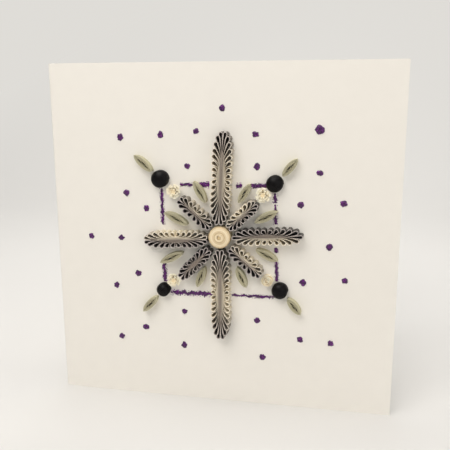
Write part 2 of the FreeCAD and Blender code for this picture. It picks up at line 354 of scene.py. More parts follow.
@dataclass(frozen=True)
class GlitterFinish:
    """Dried glue full of flakes."""

    name: str
    deep: Colour
    bright: Colour
    flakes: float
    coat: float
    coat_roughness: float = 0.2
    bump: float = 0.6
    flake_depth: float = 0.00012

    def material(self, flakes: NodeTree) -> Material:
        """Build the material.

        Args:
            flakes: the shared glitter effect.

        Returns:
            The material.
        """
        material, nodes, shader = new_material(self.name)
        glitter = nodes.add("Group", {"Deep": linear(self.deep), "Bright": linear(self.bright),
                                      "Flakes": self.flakes}, node_tree=flakes)
        bump = nodes.add("Bump", {"Height": glitter.outputs["Height"], "Strength": self.bump,
                                  "Distance": self.flake_depth})
        nodes.tree.links.new(glitter.outputs["Color"], shader.inputs["Base Color"])
        for label in ("Roughness", "Metallic"):
            nodes.tree.links.new(glitter.outputs[label], shader.inputs[label])
        nodes.tree.links.new(bump.outputs["Normal"], shader.inputs["Normal"])
        shader.inputs["Coat Weight"].default_value = self.coat
        shader.inputs["Coat Roughness"].default_value = self.coat_roughness
        return material


class Palette:
    """Every material of the card, built once."""

    def __init__(self) -> None:
        """Build the shared effects, then each material around them."""
        fibre = fibre_group()
        flakes = flake_group()
        papers = (
            PaperFinish("white_card", (0.93, 0.915, 0.885), (0.93, 0.915, 0.885), grain=1400.0,
                        mottle=0.10, bump=0.10),
            PaperFinish("petal_wall", (0.94, 0.90, 0.81), (0.24, 0.23, 0.23), middle=(0.60, 0.57, 0.53)),
            # petal_cut_edge: its packed colour is painted shade for the packed band of strands.
            PaperFinish("petal_cut_edge", (0.98, 0.94, 0.86), (0.76, 0.72, 0.71),
                        middle=(0.86, 0.82, 0.77), packed=(0.90, 0.87, 0.82), mottle=0.12),
            # cream_wall: its dark end paints shade in the hub's hollow, and it carries the hub's painted
            # rings of light and shade.
            PaperFinish("cream_wall", (0.95, 0.90, 0.78), (0.86, 0.77, 0.60)),
            PaperFinish("cream_cut_edge", (0.97, 0.91, 0.79), (0.84, 0.74, 0.57)),
            # hub_cut_edge: carries the hub's painted rings of light and shade.
            PaperFinish("hub_cut_edge", (0.98, 0.92, 0.81), (0.76, 0.66, 0.49), middle=(0.93, 0.85, 0.70)),
            # fringe: its dark end paints shade at the tabs' feet and in the flowers' hollows.
            PaperFinish("fringe", (0.99, 0.97, 0.89), (0.96, 0.89, 0.75), mottle=0.12),
            # black_wall and black_cut_edge: their two ends carry the domes' painted rings of light and
            # shade.
            PaperFinish("black_wall", (0.05, 0.04, 0.045), (0.02, 0.015, 0.02),
                        roughness=0.42, specular=0.16),
            PaperFinish("black_cut_edge", (0.06, 0.05, 0.055), (0.02, 0.015, 0.02),
                        roughness=0.38, specular=0.16),
            # sage_wall and sage_cut_edge: their dark ends paint shade on the leaves' inner turns.
            PaperFinish("sage_wall", (0.80, 0.78, 0.65), (0.33, 0.32, 0.22)),
            PaperFinish("sage_cut_edge", (0.77, 0.75, 0.64), (0.68, 0.65, 0.53)),
        )
        self.materials = {paper.name: paper.material(fibre) for paper in papers}
        glues = (
            GlitterFinish("glitter_glue", (0.22, 0.04, 0.27), (0.50, 0.18, 0.56), flakes=2600.0, coat=0.3),
            GlitterFinish("glitter_flake", (0.30, 0.06, 0.36), (0.72, 0.38, 0.78), flakes=900.0, coat=0.0),
        )
        for glue in glues:
            self.materials[glue.name] = glue.material(flakes)

    def pick(self, *names: str) -> list[Material]:
        """The named materials, in order."""
        return [self.materials[name] for name in names]


# Paper strips

@dataclass
class Strip:
    """One strip of paper stood on edge along a path on the card."""

    path: list[Point]
    top: Callable[[int], float]
    thickness: Callable[[int], float] = lambda number: 0.2
    closed: bool = False
    shade: Callable[[int], float] = lambda number: 0.0
    reach: Callable[[int], float] = lambda number: 1.0
    lean: Callable[[int], Point] = lambda number: (0.0, 0.0)
    tilt: Callable[[int], float] = lambda number: 0.0

    def mesh(self) -> Mesh:
        """Draw the strip's four-cornered section out along its path.

        Returns:
            A mesh whose cut edges, the faces that point off the card, have the second material.
        """
        bm = bmesh.new()
        shade = bm.verts.layers.float.new("shade")
        reach = bm.verts.layers.float.new("reach")
        corners = bmesh.ops.create_circle(bm, segments=4, radius=1.0)["verts"]
        rim = bm.edges[:]
        first_rim = rim
        for number, (x, z) in enumerate(self.path):
            if number > 0:
                rim, corners = drawn_out(bm, rim, corners)
            right_x, right_z = self.right_of(number)
            lean_x, lean_z = self.lean(number)
            half = self.thickness(number) / 2
            for vertex, side, high in zip(corners, (1, 1, -1, -1), (0, 1, 1, 0)):
                height = high * (self.top(number) + side * self.tilt(number))
                vertex.co = on_card(x + side * half * right_x + high * lean_x,
                                    z + side * half * right_z + high * lean_z, height)
                vertex[shade] = self.shade(number)
                vertex[reach] = self.reach(number)
        if self.closed:
            bmesh.ops.bridge_loops(bm, edges=first_rim + rim)
        else:
            bmesh.ops.edgeloop_fill(bm, edges=first_rim)
            bmesh.ops.edgeloop_fill(bm, edges=rim)
        bmesh.ops.recalc_face_normals(bm, faces=bm.faces[:])
        bm.normal_update()
        for face in bm.faces:
            face.material_index = 1 if face.normal.y < -CUT_EDGE_SLOPE else 0
        return into_mesh(bm, "strip")

    def right_of(self, number: int) -> Point:
        """Find which way is right of the path.

        Args:
            number: one of the path's points.

        Returns:
            The unit step to the right there.
        """
        count = len(self.path)
        if self.closed:
            before, after = self.path[number - 1], self.path[(number + 1) % count]
        else:
            before, after = self.path[max(number - 1, 0)], self.path[min(number + 1, count - 1)]
        step_x, step_z = after[0] - before[0], after[1] - before[1]
        length = math.hypot(step_x, step_z) or 1.0
        return step_z / length, -step_x / length


def plug(x: float, z: float, radius: float, top: float) -> Mesh:
    """Close the room inside a roll with a round block that stands on the card, coloured at its paper's dark
    end as painted shade of the hollow.

    Args:
        x: its middle, to the right of the snowflake's middle.
        z: its middle, above it.
        radius: its radius.
        top: how high it stands.

    Returns:
        The block's mesh.
    """
    bm = bmesh.new()
    made = bmesh.ops.create_cone(bm, cap_ends=True, segments=PLUG_SIDES, radius1=radius * MM,
                                 radius2=radius * MM, depth=top * MM)
    bmesh.ops.rotate(bm, verts=made["verts"], matrix=Matrix.Rotation(math.radians(90), 3, "X"))
    bmesh.ops.translate(bm, verts=bm.verts[:], vec=on_card(x, z, top / 2))
    bmesh.ops.recalc_face_normals(bm, faces=bm.faces[:])
    # Painted shade: the block takes the dark end of its paper's colours, standing in for the shade in the
    # roll's hollow.
    shade = bm.verts.layers.float.new("shade")
    for vertex in bm.verts:
        vertex[shade] = 1.0
    return into_mesh(bm, "plug", smooth=False)


def finish_piece(name: str, mesh: Mesh, materials: list, stock: Stock, nodes: Iterable[str],
                 sharp: float = 40.0) -> None:
    """Make an object of a mesh, dress it, hang it under the root and hide the solids that it stands for.

    Args:
        name: the piece's name.
        mesh: its mesh, in metres in the part's frame.
        materials: its materials, in the order of the mesh's indices.
        stock: the record's slot for its kind of paper or glue; not used.
        nodes: the solids that it replaces.
        sharp: the angle in degrees past which an edge isn't smoothed.
    """
    mesh.name = name
    for material in materials:
        mesh.materials.append(material)
    mesh.set_sharp_from_angle(angle=math.radians(sharp))
    piece = bpy.data.objects.new(name, mesh)
    bpy.context.scene.collection.objects.link(piece)
    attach(piece, "root")
    for node in nodes:
        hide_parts(node)
    log.info("%s: %d faces", name, len(mesh.polygons))


def joined(parts: Iterable[Mesh]) -> Mesh:
    """Put several meshes into one and drop the single ones.

    Args:
        parts: the single meshes.

    Returns:
        The joined mesh.
    """
    bm = bmesh.new()
    for part in parts:
        bm.from_mesh(part)
        bpy.data.meshes.remove(part)
    return into_mesh(bm, "joined", smooth=False)


def uneven(*key: float) -> float:
    """A number between -1 and 1 that is always the same for the same key."""
    return math.sin(sum(value * factor for value, factor in zip(key, UNEVEN_FACTORS)) * UNEVEN_SCALE)


# The card

@dataclass
class FoldedCard:
    """The white sheet, folded once and standing open like a book."""

    side: float = 150.0
    sheet: float = 0.4
    opening: float = 35.0
    spring_length: float = 15.0
    spring_radius: float = 120.0
    fold_radius: float = 1.0
    flat_steps: int = 12
    bend_steps: int = 16

    def section(self) -> list[Point]:
        """Walk the sheet's middle line from the front panel's free edge round the fold.

        Returns:
            Points in millimetres, seen from above.
        """
        spring = self.spring_length / self.spring_radius
        crease = math.pi - math.radians(self.opening) - 2 * spring
        flat = self.side - self.spring_length
        stretches = ((flat, 0.0, self.flat_steps), (self.spring_length, spring, self.bend_steps),
                     (self.fold_radius * crease, crease, self.bend_steps),
                     (self.spring_length, spring, self.bend_steps), (flat, 0.0, self.flat_steps))
        x, y, heading = self.side / 2, 0.0, math.pi
        points = [(x, y)]
        for length, turn, steps in stretches:
            for _ in range(steps):
                middle = heading - turn / steps / 2
                x += length / steps * math.cos(middle)
                y += length / steps * math.sin(middle)
                heading -= turn / steps
                points.append((x, y))
        return points

    def build(self, palette: Palette) -> None:
        """Extrude the first edge along the section and give the sheet its thickness.

        Args:
            palette: the materials.
        """
        bm = bmesh.new()
        points = self.section()
        rim, pair = first_edge(bm)
        for vertex, height in zip(pair, (0.0, self.side)):
            vertex.co = (points[0][0] * MM, points[0][1] * MM, height * MM)
        for before, after in zip(points, points[1:]):
            rim, pair = drawn_out(bm, rim, pair)
            step = Vector(((after[0] - before[0]) * MM, (after[1] - before[1]) * MM, 0.0))
            bmesh.ops.translate(bm, verts=pair, vec=step)
        bmesh.ops.recalc_face_normals(bm, faces=bm.faces[:])
        bm.normal_update()
        for vertex in bm.verts:
            vertex.co += vertex.normal * (self.sheet / 2 * MM)
        as_sheet(bm, self.sheet)
        finish_piece("card_sheet", into_mesh(bm, "card"), palette.pick("white_card"), Stock.CARD, ["card"])


# Comb-wound petals

@dataclass
class CombPetal:
    """A petal of one strip wound on a comb, its loops nested along both sides."""

    name: str
    angle: float
    tip: float
    length: float
    half_width: float
    aside: float
    left_shades: tuple[float, float]
    right_shades: tuple[float, float]
    paired_tips: bool = True
    strip_height: float = 5.0
    thickness: float = 0.25
    loop_pitch: float = 2.63
    head_radius: float = 0.92
    tip_radius: float = 0.75
    paired_tip_offset: float = 0.95
    shortest_tail: float = 1.0
    tail_share: float = 0.46
    flare_power: float = 1.4
    blunt_power: float = 3.2
    blunt_share: float = 0.58
    waist: float = 0.16
    waist_power: int = 4
    strand_width: float = 0.25
    strand_gap: float = 0.04
    opening_power: float = 1.0
    darkening_power: float = 2.0
    light_share: float = 0.9
    unevenness: float = 0.10
    stations: int = 6
    least_share: float = 0.02
    head_turns: tuple[float, ...] = (-1.2, -0.8, -0.4, 0.0, 0.4, 0.8, 1.2)
    sunk_least: float = 0.15
    sunk_step: float = 0.5
    sunk_spread: float = 0.12
    head_drop: float = 0.06
    head_drop_spread: float = 0.05

    @property
    def first_strand(self) -> float:
        """How far the first strands lie from the petal's middle, in strand widths."""
        return 0.5 if self.paired_tips else 0.0

    @property
    def loop_count(self) -> int:
        """How many loops follow the tip loop in one quarter of the petal."""
        return max(1, round(self.length / 2 / self.loop_pitch - 0.5))

    def half_width_at(self, share: float) -> float:
        """Half the petal's width at a share of its half length."""
        blunt = 1 - self.blunt_share * share ** self.blunt_power
        return self.half_width * (blunt - self.waist * (1 - share * share) ** self.waist_power)

    def loops(self, across: int) -> list[tuple[Point, Point, float]]:
        """Place the loops of one side of the petal.

        Args:
            across: 1 for the left side and -1 for the right one.

        Returns:
            For each loop, from the tip to the waist, its tail, its head and its head's radius.
        """
        half = self.length / 2
        pitch = half / (self.loop_count + 0.5)
        edge = self.thickness / 2
        tip_w = self.paired_tip_offset if self.paired_tips else 0.0
        tip_tail = (half * (1 - self.tail_share), self.strand_width * self.first_strand)
        found = [(tip_tail, (half - self.tip_radius - edge, tip_w), self.tip_radius)]
        for number in range(1, self.loop_count + 1):
            off_u = self.unevenness * uneven(number, across, self.angle)
            off_w = self.unevenness * (1 + uneven(self.angle, number, across)) / 2
            head_u = half - number * pitch
            share = head_u / half
            head_w = self.half_width_at(share) - self.head_radius - edge
            tail = self.shortest_tail + self.tail_share * half * share * share
            tail_w = self.strand_width * (number + self.first_strand)
            found.append(((head_u - tail, tail_w), (head_u + off_u, head_w - off_w), self.head_radius))
        return found

    def quarter(self, tail: Point, head: Point, radius: float) -> list[tuple[float, float, float]]:
        """Draw the strip of one loop from the petal's middle out round the head and back.

        Args:
            tail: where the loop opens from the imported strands.
            head: the middle of its round end.
            radius: the radius of that end.

        Returns:
            For each point its length and width in the petal, and 0 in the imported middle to 1 at the head.
        """
        strand = self.strand_width / 4
        sides = ([], [])
        for step in range(self.stations + 1):
            share = step / self.stations
            u = tail[0] + (head[0] - tail[0]) * share
            w = tail[1] + (head[1] - tail[1]) * share ** self.flare_power
            rate = max(share, self.least_share) ** (self.flare_power - 1)
            slope = self.flare_power * (head[1] - tail[1]) * rate
            way = math.atan2(slope, head[0] - tail[0])
            half = strand + (radius - strand) * share ** self.opening_power
            for side, points in zip((-1, 1), sides):
                points.append((u - side * half * math.sin(way), w + side * half * math.cos(way), share))
        arc = []
        for turn in self.head_turns:
            du, dw = polar(radius, way + turn)
            arc.append((head[0] + du, head[1] + dw, 1.0))
        near, far = tail[1] - strand, tail[1] + strand
        return [(0.0, near, 0.0)] + sides[0] + arc + sides[1][::-1] + [(0.0, far, 0.0)]

    def placed(self, u: float, w: float) -> Point:
        """Turn a place in the petal into a place on the card.

        Args:
            u: how far along the petal it lies from the petal's middle.
            w: how far to its left.

        Returns:
            Its steps right of and above the snowflake's middle.
        """
        turn = math.radians(self.angle)
        along = self.tip - self.length / 2 + u
        aside = self.aside + w
        return (along * math.cos(turn) - aside * math.sin(turn),
                along * math.sin(turn) + aside * math.cos(turn))

    def ring(self, number: int, across: int, shades: tuple[float, float]) -> Strip:
        """Give one loop and its twin at the petal's other end as one closed strip.

        Args:
            number: the loop's number from the tip.
            across: 1 for the left side and -1 for the right one.
            shades: how dark that side's strips are at the waist and at the tips.

        Returns:
            The strip.
        """
        tail, head, radius = self.loops(across)[number]
        outer = self.quarter(tail, head, radius)
        rows = outer + [(-u, w, share) for u, w, share in reversed(outer[1:-1])]
        tip_share = 1 - (number - 0.5) / max(self.loop_count - 0.5, 1) if number else 1.0
        shade = shades[0] + (shades[1] - shades[0]) * min(1.0, tip_share) ** self.darkening_power
        packed_width = self.strand_width / 2 - self.strand_gap
        sunk = self.sunk_least + self.sunk_step * (number % 2)
        sunk += self.sunk_spread * uneven(number, across, self.angle)
        # Painted shade: the cut edges in the packed band darken as far as reach falls below 1, and light
        # strips are spared a share of it.
        unshaded_band_share = self.light_share * (1 - shade)
        head_drop = self.head_drop + self.head_drop_spread * uneven(across, self.angle, number)

        def between(index: int, packed: float, open_end: float) -> float:
            """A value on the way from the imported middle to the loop's head."""
            return packed + (open_end - packed) * rows[index][2]

        return Strip([self.placed(u, across * w) for u, w, share in rows],
                     lambda index: self.strip_height - between(index, sunk, head_drop),
                     thickness=lambda index: between(index, packed_width, self.thickness),
                     closed=True, shade=lambda index: shade,
                     reach=lambda index: max(unshaded_band_share, rows[index][2]))

    def strips(self) -> Iterable[Strip]:
        """Wind every loop of the petal.

        Returns:
            The strips, from the tips to the waist.
        """
        for number in range(self.loop_count + 1):
            for across, shades in ((1, self.left_shades), (-1, self.right_shades)):
                if number > 0 or self.paired_tips or across > 0:
                    yield self.ring(number, across, shades)

    def build(self, palette: Palette) -> None:
        """Wind the petal and dress it.

        Args:
            palette: the materials.
        """
        mesh = joined(strip.mesh() for strip in self.strips())
        finish_piece(self.name + "_strips", mesh, palette.pick("petal_wall", "petal_cut_edge"),
                     Stock.PETAL, [self.name])


# Tight coils

@dataclass
class DomedCoil:
    """A strip rolled tight and pushed up into a dome."""

    name: str
    x: float
    z: float
    radius: float
    rim: float
    rise: float
    inner: float
    papers: tuple[str, str]
    stock: Stock
    pitch: float = 0.27
    thickness: float = 0.25
    turn_steps: int = 40
    scallop: float = 0.0
    collar: float = 0.0
    collar_rise: float = 0.0
    floor_depth: float = 0.0
    steepest: float = 0.2
    ring_span: float = 2.3
    middle_shade: float = 0.45
    painted_ring_shade: float = 0.3
    turn_shade: float = 0.25
    scallop_count: int = 17
    ripple: float = 0.03
    ripple_steps: int = 9
    floor_overlap: float = 0.05

    def height(self, radius: float) -> float:
        """How high the strip's upper edge stands at a distance from the coil's middle."""
        return self.dome(radius) + (self.collar_rise if radius < self.collar else 0.0)

    def dome(self, radius: float) -> float:
        """The height of the dome itself at a distance from its middle."""
        return self.rim + self.rise * math.sqrt(max(0.0, 1 - (radius / self.radius) ** 2))

    def slope(self, radius: float) -> float:
        """How much lower the strip's outer edge lies than its middle at a radius."""
        near, far = self.dome(radius - self.thickness / 2), self.dome(radius + self.thickness / 2)
        return max(-self.steepest, (far - near) / 2)

    def rippled(self, number: int) -> float:
        """How far the strip's upper edge is out of line at one of its points."""
        return self.ripple * uneven(number // self.ripple_steps, self.x)

    def shade(self, radius: float, turn: int) -> float:
        """How dark a turn of the strip is: painted light and shade in wide rings, and one turn unlike the
        next at random.
        """
        # Painted light and shade: the cosine lays lighter and darker rings across the coil.
        ring = math.cos(2 * math.pi * radius / self.ring_span)
        return self.middle_shade + self.painted_ring_shade * ring + self.turn_shade * uneven(turn, self.z)

    def build(self, palette: Palette) -> None:
        """Roll the strip from the rim inwards, and close the hole with a floor if it has one.

        Args:
            palette: the materials.
        """
        outer = self.radius - self.thickness / 2
        turns = (outer - self.inner - self.thickness / 2) / self.pitch
        path = []
        radii = []
        for step in range(int(turns * self.turn_steps) + 1):
            angle = step * 2 * math.pi / self.turn_steps
            radius = outer - self.pitch * step / self.turn_steps
            if step < self.turn_steps:
                radius -= self.scallop * (0.5 + 0.5 * math.sin(self.scallop_count * angle))
            dx, dz = polar(radius, angle)
            path.append((self.x + dx, self.z + dz))
            radii.append(radius)
        strip = Strip(path, lambda number: self.height(radii[number]) - self.rippled(number),
                      thickness=lambda number: self.thickness,
                      shade=lambda number: self.shade(radii[number], number // self.turn_steps),
                      tilt=lambda number: self.slope(radii[number]))
        parts = [strip.mesh()]
        if self.floor_depth > 0.0:
            floor = self.height(0.0) - self.floor_depth
            parts.append(plug(self.x, self.z, self.inner + self.floor_overlap, floor))
        finish_piece(self.name + "_roll", joined(parts), palette.pick(*self.papers), self.stock,
                     [self.name])


# Fringed flowers

@dataclass
class FringedFlower:
    """A slit strip rolled up and bent outwards into whorls of small tabs."""

    name: str
    x: float
    z: float
    radius: float
    height: float = 3.6
    whorls: tuple[tuple[int, float, float, float], ...] = (
        (9, 1.0, 0.74, 1.35), (8, 0.72, 0.90, 1.0), (6, 0.44, 1.0, 0.70))
    thickness: float = 0.14
    usual_radius: float = 2.9
    plug_share: float = 0.3
    plug_height_share: float = 0.7
    stray_turn: float = 0.10
    stray_reach: float = 0.05
    stray_top: float = 0.03
    tab_shade: float = 0.14
    painted_foot_shade: float = 0.5
    tip_stations: tuple[tuple[float, float, float], ...] = (
        (0.50, 0.0, 0.8), (0.52, 0.60, 0.85), (0.70, 0.90, 0.95), (0.88, 1.0, 1.0), (0.97, 0.96, 0.85),
        (1.0, 0.90, 0.45))

    def tab(self, angle: float, reach: float, top: float, width: float, shade: float) -> Mesh:
        """Bend one tab of the fringe out of the roll.

        Args:
            angle: where it stands round the roll, in radians.
            reach: how far its tip lies from the middle.
            top: how high its tip stands.
            width: how wide it is.
            shade: how dark its paper is, from 0 to 1.

        Returns:
            The tab's mesh.
        """
        bm = bmesh.new()
        layer = bm.verts.layers.float.new("shade")
        rim, pair = first_edge(bm)
        for number, (reach_share, top_share, width_share) in enumerate(self.tip_stations):
            if number > 0:
                rim, pair = drawn_out(bm, rim, pair)
            for vertex, side in zip(pair, (-1, 1)):
                dx, dz = polar(reach * reach_share, angle)
                across_x, across_z = polar(side * width_share * width / 2, angle + math.pi / 2)
                vertex.co = on_card(self.x + dx + across_x, self.z + dz + across_z, top * top_share)
                # Painted shade: each tab darkens towards its foot, low in the flower.
                vertex[layer] = shade + (1 - top_share) * self.painted_foot_shade
        as_sheet(bm, self.thickness)
        return into_mesh(bm, "tab")

    def build(self, palette: Palette) -> None:
        """Set the whorls of tabs round a middle that a block closes.

        Args:
            palette: the materials.
        """
        parts = [plug(self.x, self.z, self.radius * self.plug_share, self.height * self.plug_height_share)]
        for whorl, (count, share, top, width) in enumerate(self.whorls):
            for number in range(count):
                angle = 2 * math.pi * (number + 0.5 * whorl) / count
                angle += self.stray_turn * uneven(number, whorl, self.x)
                reach = self.radius * share * (1 - self.stray_reach * (1 - uneven(number, self.z)))
                tip = self.height * top * (1 - self.stray_top * (1 - uneven(number, self.x)))
                parts.append(self.tab(angle, reach, tip, width * self.radius / self.usual_radius,
                                      self.tab_shade * (1 + uneven(self.x, number))))
        finish_piece(self.name + "_fringe", joined(parts), palette.pick("fringe"), Stock.CREAM, [self.name],
                     sharp=50.0)


@dataclass
class RolledRose:
    """A strip rolled loosely so that its turns lean outwards like a rose."""

    name: str
    x: float
    z: float
    radius: float
    height: float = 3.6
    rim_height: float = 2.3
    turns: float = 3.4
    turn_steps: int = 28
    inner: float = 0.35
    thickness: float = 0.3
    lean: float = 0.3
    lean_power: float = 0.5
    lobes: float = 0.06
    lobe_rate: float = 2.4
    floor_share: float = 0.8
    floor_drop: float = 0.5
    paper_shade: float = 0.3
    shade_steps: int = 9

    def shade(self, number: int) -> float:
        """How dark the paper is at one of the strip's points."""
        return self.paper_shade * (1 + uneven(number // self.shade_steps, self.x))

    def build(self, palette: Palette) -> None:
        """Roll the strip from the rim inwards over a block that closes its foot.

        Args:
            palette: the materials.
        """
        steps = int(self.turns * self.turn_steps)
        outer = self.radius - self.lean - self.thickness / 2
        path = []
        leans = []
        for step in range(steps + 1):
            share = step / steps
            angle = 2 * math.pi * step / self.turn_steps
            radius = outer + (self.inner - outer) * share
            radius *= 1 + self.lobes * (math.sin(self.lobe_rate * angle) - 1)
            dx, dz = polar(radius, angle)
            path.append((self.x + dx, self.z + dz))
            leans.append(polar(self.lean * (1 - share) ** self.lean_power, angle))
        rise = self.height - self.rim_height
        strip = Strip(path, lambda number: self.rim_height + rise * number / steps,
                      thickness=lambda number: self.thickness,
                      shade=self.shade,
                      lean=lambda number: leans[number])
        floor = plug(self.x, self.z, self.radius * self.floor_share, self.rim_height - self.floor_drop)
        parts = [strip.mesh(), floor]
        finish_piece(self.name + "_fringe", joined(parts), palette.pick("fringe"), Stock.CREAM, [self.name],
                     sharp=50.0)


# Leaves

@dataclass
class PinchedLeaf:
    """A loose coil pinched at both ends, its inner turns leaving uneven eyes."""

    name: str
    outer: Point
    inner: Point
    half_width: float = 1.85
    strip_height: float = 3.0
    thickness: float = 0.2
    packed: float = 0.26
    packed_turns: int = 5
    turn_steps: int = 24
    tip_gain: float = 1.5
    wave: float = 0.75
    wave_turns: float = 1.3
    loose_steps: int = 26
    loose_reach: float = 1.8
    pinch_power: float = 0.3
    ripple: float = 0.07
    ripple_steps: int = 12
    seed_span: float = 3.0

    def wound(self, half_length: float, half_width: float, seed: float) -> list[Point]:
        """Wind packed turns from the outside in and end with one strand that wanders through the middle.

        Args:
            half_length: half the length of the outermost turn's middle line.
            half_width: half its width.
            seed: where this leaf's strand starts to wander.

        Returns:
            Points along and across the leaf.
        """
        points = []
        for step in range(self.packed_turns * self.turn_steps + 1):
            angle = 2 * math.pi * step / self.turn_steps
            drop = self.packed * step / self.turn_steps
            w = (half_width - drop) * math.sin(angle) * abs(math.sin(angle)) ** self.pinch_power
            points.append(((half_length - drop * self.tip_gain) * math.cos(angle), w))
        drop = self.packed * self.packed_turns
        for step in range(1, self.loose_steps + 1):
            share = step / self.loose_steps
            u = (half_length - drop * self.tip_gain) * (1 - self.loose_reach * share)
            room = (half_width - drop) * (1 - (u / half_length) ** 2)
            wander = math.sin(2 * math.pi * self.wave_turns * share + seed)
            points.append((u, self.wave * room * wander))
        return points

    def rippled(self, number: int, key: float) -> float:
        """How far the strip's upper edge lies below its height at one of its points."""
        return self.ripple * (1 + uneven(number // self.ripple_steps, key))

    def build(self, palette: Palette) -> None:
        """Wind the strip, stand it on the card and dress it.

        Args:
            palette: the materials.
        """
        span_x, span_z = self.outer[0] - self.inner[0], self.outer[1] - self.inner[1]
        turn = math.atan2(span_z, span_x)
        middle_x, middle_z = (self.outer[0] + self.inner[0]) / 2, (self.outer[1] + self.inner[1]) / 2
        points = self.wound(math.hypot(span_x, span_z) / 2 - self.thickness / 2,
                            self.half_width - self.thickness / 2,
                            self.seed_span * uneven(middle_x, middle_z))
        path = [(middle_x + u * math.cos(turn) - w * math.sin(turn),
                 middle_z + u * math.sin(turn) + w * math.cos(turn)) for u, w in points]
        # Painted shade: the inner turns run to the dark end of the sage colours, standing in for the shade
        # inside the leaf's eyes.
        strip = Strip(path, lambda number: self.strip_height - self.rippled(number, middle_x),
                      thickness=lambda number: self.thickness,
                      shade=lambda number: min(1.0, number / self.turn_steps / self.packed_turns))
        finish_piece(self.name + "_coil", strip.mesh(), palette.pick("sage_wall", "sage_cut_edge"),
                     Stock.SAGE, [self.name])


# Glitter glue

@dataclass
class GlitterLine:
    """One side of the square, squeezed out unevenly between the pieces on the card."""

    name: str
    start: Point
    end: Point
    runs: tuple[tuple[float, float, float], ...]
    seed: int
    height: float = 0.3
    step: float = 0.22
    flakes_per_area: float = 5.0
    flake_spread: float = 1.6
    flake_height_share: float = 0.7
    skin: float = 0.06
    rows: int = 6
    least_columns: int = 6
    least_half_width: float = 0.12
    least_height: float = 0.08
    lump_rates: Point = (0.55, 0.9)
    rag_rates: Point = (1.9, 2.0)
    edge_rise: float = 0.45
    back_rise: float = 0.5
    rag_rise: float = 0.3
    sway: float = 0.25
    sway_rate: float = 0.45
    lump_share: float = 1.0
    rag_share: float = 0.9
    plain_share: float = 0.9
    end_share: float = 0.45
    fade_rate: float = 5.0
    run_seed_step: float = 7.3
    rag_seed: float = 40.0
    sway_seed: float = 3.1

    @property
    def length(self) -> float:
        """The length of this side of the square."""
        return math.hypot(self.end[0] - self.start[0], self.end[1] - self.start[1])

    def build(self, palette: Palette) -> None:
        """Squeeze out each run and sprinkle it with flakes.

        Args:
            palette: the materials.
        """
        parts = [self.run(*run, number) for number, run in enumerate(self.runs)]
        sprinkle = Flakes(self.seed)
        for first, last, width in self.runs:
            for _ in range(int((last - first) * width * self.flakes_per_area)):
                place = first + (last - first) * sprinkle.chance.random()
                off = (sprinkle.chance.random() - 0.5) * width * self.flake_spread
                parts.append(sprinkle.plate(*self.at(place, off), self.height * self.flake_height_share))
        finish_piece(self.name + "_glue", joined(parts), palette.pick("glitter_glue", "glitter_flake"),
                     Stock.GLUE, [self.name])

    def at(self, place: float, off: float) -> Point:
        """Turn a place in the line into a place on the card.

        Args:
            place: how far along the line it lies.
            off: how far to its left.

        Returns:
            Its steps right of and above the snowflake's middle.
        """
        along_x = (self.end[0] - self.start[0]) / self.length
        along_z = (self.end[1] - self.start[1]) / self.length
        return (self.start[0] + place * along_x - off * along_z,
                self.start[1] + place * along_z + off * along_x)

    def run(self, first: float, last: float, width: float, number: int) -> Mesh:
        """Squeeze out one unbroken run with ragged sides and a lumpy back.

        Args:
            first: where the run starts along the line.
            last: where it ends.
            width: its usual width.
            number: its number on the line.

        Returns:
            The run's mesh.
        """
        run_length = last - first
        along = max(self.least_columns, int(run_length / self.step))
        bm = bmesh.new()
        bm.verts.layers.float.new("shade")
        bmesh.ops.create_grid(bm, x_segments=along, y_segments=self.rows, size=0.5)
        for vertex in bm.verts:
            share, side = vertex.co.x + 0.5, vertex.co.y * 2
            place = share * run_length
            lump = noise.noise(Vector((place * self.lump_rates[0], side * self.lump_rates[1],
                                       self.seed + number * self.run_seed_step)))
            rag = noise.noise(Vector((place * self.rag_rates[0], side * self.rag_rates[1],
                                      self.seed + self.rag_seed)))
            fade = min(1.0, self.fade_rate * share, self.fade_rate * (1 - share)) ** 0.5
            half = width / 2 * (self.plain_share + self.lump_share * lump + self.rag_share * rag)
            half *= self.end_share + (1 - self.end_share) * fade
            sway = self.sway * noise.noise(Vector((place * self.sway_rate, self.sway_seed, self.seed)))
            back = (1 - side * side) * fade
            rise = self.height * (self.edge_rise + self.back_rise * back + self.rag_rise * back * rag)
            x, z = self.at(first + place, side * max(self.least_half_width, half) + sway)
            vertex.co = on_card(x, z, min(self.height, max(self.least_height, rise)))
        bmesh.ops.recalc_face_normals(bm, faces=bm.faces[:])
        if sum(face.normal.y for face in bm.faces) > 0:
            bmesh.ops.reverse_faces(bm, faces=bm.faces[:])
        as_sheet(bm, self.skin)
        if bm.calc_volume(signed=True) < 0.0:
            bmesh.ops.reverse_faces(bm, faces=bm.faces[:])
        return into_mesh(bm, "run")


